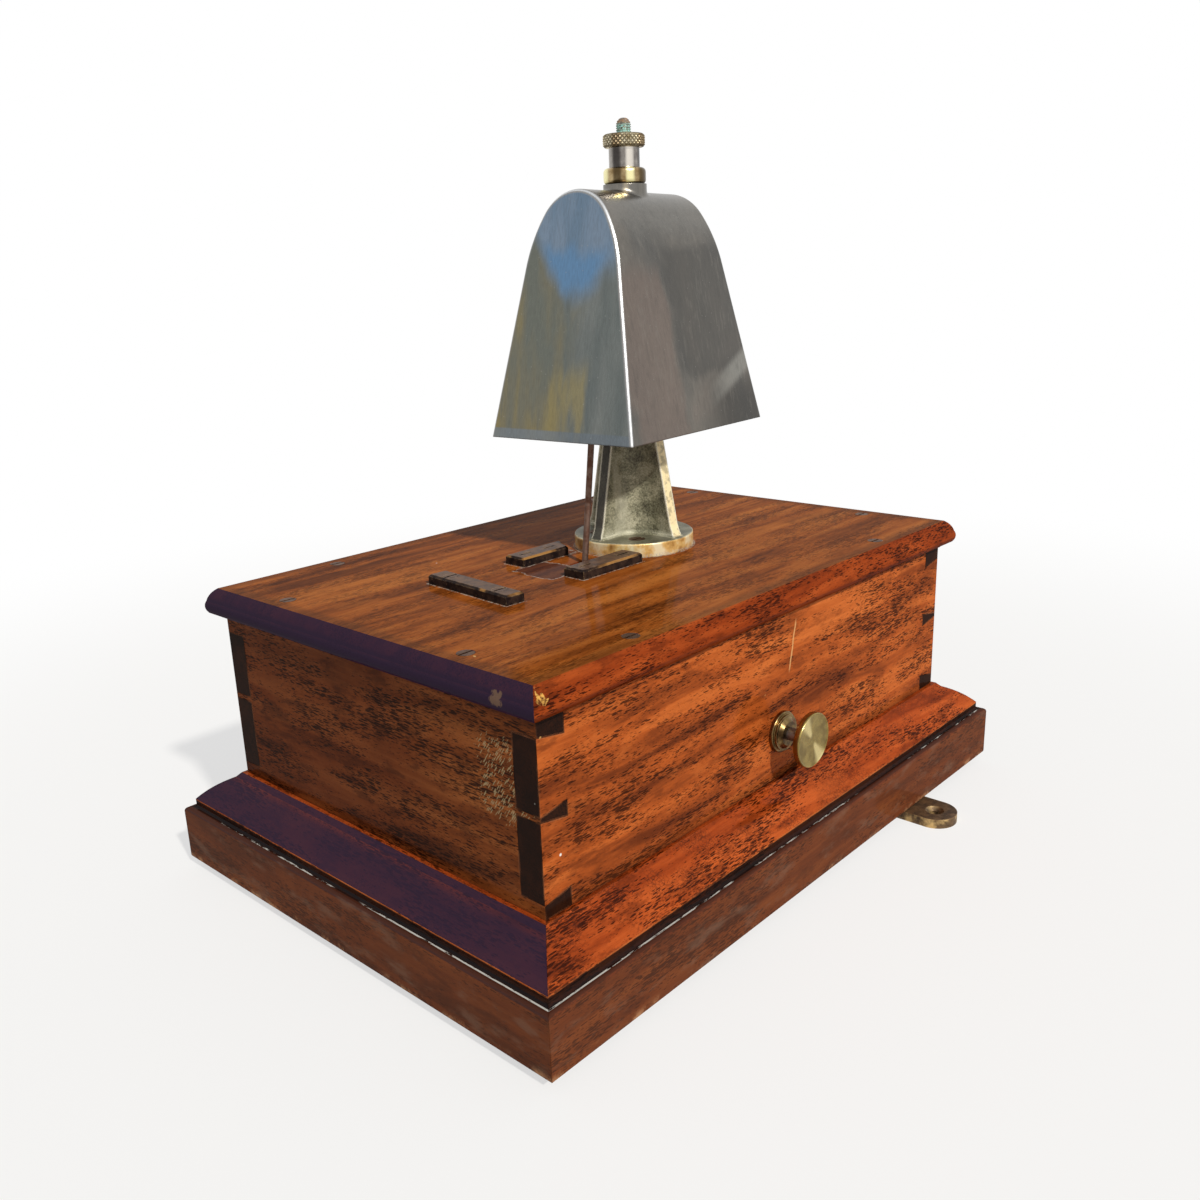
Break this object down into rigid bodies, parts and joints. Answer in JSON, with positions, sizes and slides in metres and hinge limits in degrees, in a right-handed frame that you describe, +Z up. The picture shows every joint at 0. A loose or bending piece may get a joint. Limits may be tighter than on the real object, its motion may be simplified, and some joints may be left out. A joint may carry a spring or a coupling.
{
  "type": "signal box block bell",
  "caption": "Electric single-stroke signal bell: moulded dovetailed case, arched bell on a ribbed pillar, hammer through the lid and a push plunger.",
  "frame": {"origin": "centre of the underside", "axes": "+Z up, +X to the right along the long side, -Y the front with the plunger"},
  "size_m": [0.3512, 0.2924, 0.3424],
  "materials": {
    "mahogany": "french polished, worn",
    "steel_screw": "dull",
    "bronzed_brass": "dark bronzed, worn edges",
    "cast_brass": "as cast, dull",
    "steel": "bright, lightly rusted",
    "spring_steel": "bright",
    "polished_bell": "polished, brushed upright",
    "leather_washer": "matt",
    "nickel": "worn nickel plate",
    "brass": "turned, aged",
    "soft_iron": "dull",
    "ebonite": "satin",
    "cotton_winding": "matt"
  },
  "bodies": {
    "case": {"plinth_front": "mahogany", "plinth_back": "mahogany", "plinth_left": "mahogany", "plinth_right": "mahogany", "case_front": "mahogany", "case_back": "mahogany", "case_left": "mahogany", "case_right": "mahogany", "lid": "mahogany", "bottom_board": "mahogany", "plinth_screws": "steel_screw", "underside_screws": "steel_screw", "lid_screws": "steel_screw", "pillar_screws": "steel_screw", "fitting_screws": "steel_screw", "yoke_screws": "steel_screw", "lug_front": "bronzed_brass", "lug_back": "bronzed_brass", "slot_bar_front": "bronzed_brass", "slot_bar_back": "bronzed_brass", "side_bar": "bronzed_brass", "bar_screws": "bronzed_brass", "bell_pillar": "cast_brass", "bell_post": "steel", "pivot_pin": "steel", "stop_screw": "steel", "stop_nut": "steel", "contact_pin": "steel", "return_spring": "spring_steel", "plunger_spring": "spring_steel", "arm_spring": "spring_steel", "bell": "polished_bell", "bell_washer": "leather_washer", "bell_sleeve": "nickel", "bell_collar": "brass", "knurled_nut": "brass", "plunger_rose": "brass", "rose_nut": "brass", "pivot_bracket": "brass", "stop_bracket": "brass", "magnet_bracket": "brass", "plunger_frame": "brass", "fixed_contact": "brass", "terminal_studs": "brass", "terminal_nuts": "brass", "magnet_yoke": "soft_iron", "magnet_cores": "soft_iron", "coil_bobbins": "ebonite", "contact_block": "ebonite", "terminal_block": "ebonite", "coil_windings": "cotton_winding"},
    "hammer": {"hammer_hub": "brass", "armature": "soft_iron", "armature_screws": "steel_screw", "hammer_rod": "steel", "hammer_head": "brass"},
    "plunger": {"plunger_knob": "brass", "plunger_stem": "steel", "stem_collar": "steel"},
    "contact": {"contact_arm": "brass"}
  },
  "joints": [
    {"name": "plunger_press", "type": "slide", "parent": "case", "child": "plunger", "axis": [0, 1, 0], "range_m": [0, 0.005], "stiffness_N_per_m": 400, "springref_m": -0.005, "deforming": ["plunger_spring"]},
    {"name": "hammer_swing", "type": "hinge", "parent": "case", "child": "hammer", "pos_m": [-0.02942, -0.006, 0.0962], "axis": [0, 1, 0], "range_deg": [-4, 0], "stiffness_Nm_per_rad": 0.05, "springref_deg": 5.73, "deforming": ["return_spring"]},
    {"name": "contact_swing", "type": "hinge", "parent": "case", "child": "contact", "pos_m": [0.001, -0.0556, 0.1013], "axis": [1, 0, 0], "range_deg": [0, 11.5]}
  ],
  "couplings": [
    {"joint": "contact_swing", "follows": "plunger_press", "rad_per_m": 33.333}
  ]
}
